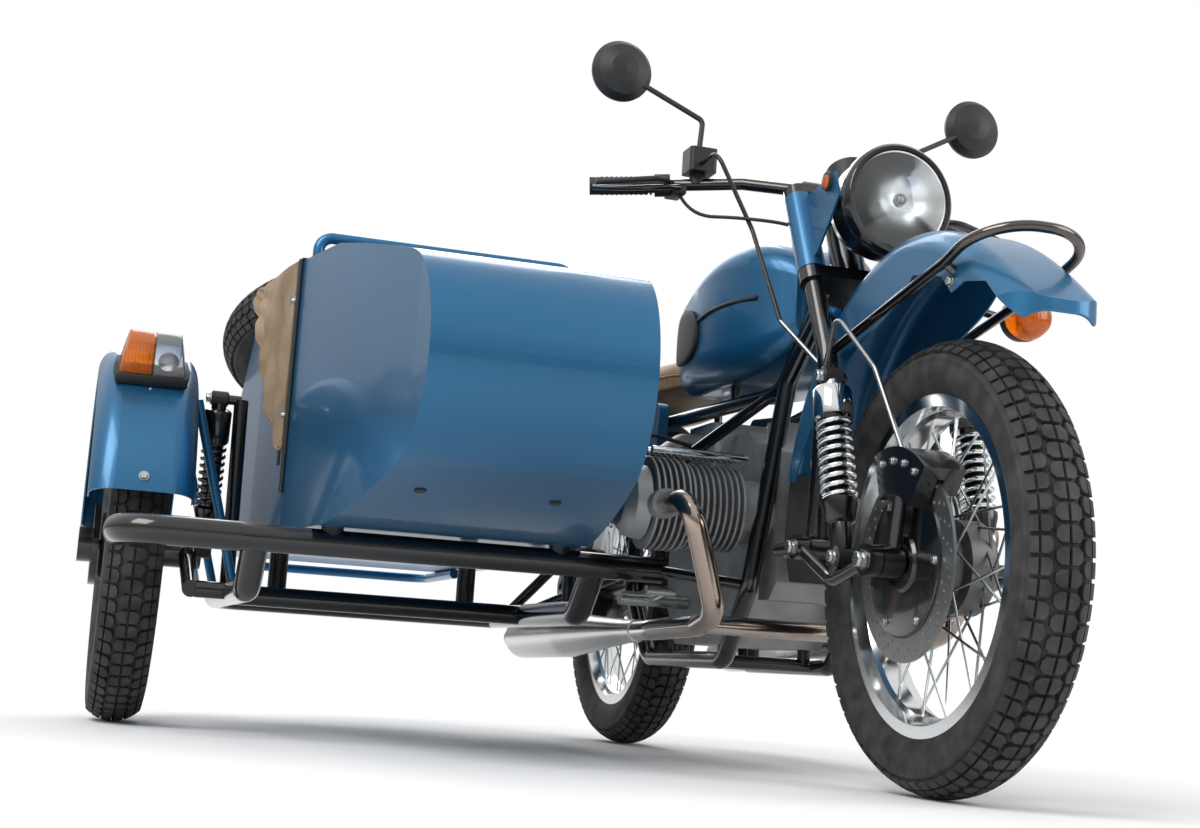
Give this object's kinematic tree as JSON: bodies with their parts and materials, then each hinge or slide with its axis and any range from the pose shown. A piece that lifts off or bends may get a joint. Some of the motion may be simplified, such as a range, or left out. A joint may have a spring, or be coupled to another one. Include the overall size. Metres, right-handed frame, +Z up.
{
  "type": "sidecar motorcycle",
  "caption": "Retro motorcycle with a flat-twin engine, leading-link fork, wire wheels and a boat-shaped sidecar with canvas cover and spare wheel.",
  "frame": {"origin": "ground level under the middle of the overall box", "axes": "+Z up, -Y the way it rides, +X the rider's left"},
  "size_m": [1.66, 2.5171, 1.32],
  "materials": {
    "paint": "satin metallic",
    "black_paint": "gloss",
    "black_plastic": "matte",
    "tyre": "matte",
    "rubber": "matte",
    "polished_alloy": "polished",
    "cast_alloy": "as cast",
    "steel": "brushed",
    "stainless": "polished",
    "chrome": "polished",
    "canvas": "woven",
    "leather": "satin",
    "clear_glass": "clear",
    "amber_lens": "gloss",
    "red_lens": "gloss",
    "hose": "braided"
  },
  "bodies": {
    "chassis": {"main_frame": "black_paint", "engine_block": "cast_alloy", "cylinders": "cast_alloy", "carburettors": "cast_alloy", "exhaust_pipes": "stainless", "mufflers": "stainless", "fuel_tank": "paint", "rider_seat": "leather", "side_covers": "paint", "rear_fender": "paint", "tail_lamp": "red_lens", "swingarm": "black_paint", "rear_shocks": "black_paint", "foot_controls": "steel", "sidecar_frame": "black_paint", "bumper_tube": "black_paint", "sidecar_struts": "black_paint", "tub_shell": "paint", "tonneau_cover": "canvas", "tub_rails": "paint", "sidecar_fender": "paint", "fender_lamp": "amber_lens", "sidecar_swingarm": "black_paint", "sidecar_shock": "black_paint"},
    "steering": {"fork": "black_paint", "fork_covers": "paint", "leading_link": "black_paint", "front_shocks": "chrome", "brake_caliper": "black_paint", "front_fender": "paint", "mud_flap": "rubber", "fender_rail": "stainless", "headlight_shell": "black_paint", "instrument": "black_plastic", "headlight_lens": "clear_glass", "handlebar": "black_paint", "hand_controls": "black_plastic", "mirrors": "black_plastic", "turn_signal": "amber_lens", "hoses_cables": "hose"},
    "front_wheel": {"front_tyre": "tyre", "front_wheel": "polished_alloy", "front_disc": "steel"},
    "rear_wheel": {"rear_tyre": "tyre", "rear_wheel": "polished_alloy"},
    "sidecar_wheel": {"sidecar_tyre": "tyre", "sidecar_wheel": "polished_alloy"},
    "trunk_lid": {"trunk_lid": "paint", "spare_tyre": "tyre", "spare_wheel": "polished_alloy"}
  },
  "joints": [
    {"name": "steering", "type": "hinge", "parent": "chassis", "child": "steering", "pos_m": [0.405, -0.52, 0.9], "axis": [0, 0.454, 0.891], "range_deg": [-35, 35]},
    {"name": "front_wheel_spin", "type": "hinge", "parent": "steering", "child": "front_wheel", "pos_m": [0.405, -0.92, 0.343], "axis": [1, 0, 0], "continuous": true},
    {"name": "rear_wheel_spin", "type": "hinge", "parent": "chassis", "child": "rear_wheel", "pos_m": [0.405, 0.578, 0.343], "axis": [1, 0, 0], "continuous": true},
    {"name": "sidecar_wheel_spin", "type": "hinge", "parent": "chassis", "child": "sidecar_wheel", "pos_m": [-0.734, 0.338, 0.343], "axis": [1, 0, 0], "continuous": true},
    {"name": "trunk_lid_hinge", "type": "hinge", "parent": "chassis", "child": "trunk_lid", "pos_m": [-0.202, 0.54094, 0.93666], "axis": [1, 0, 0], "range_deg": [0, 60]}
  ]
}
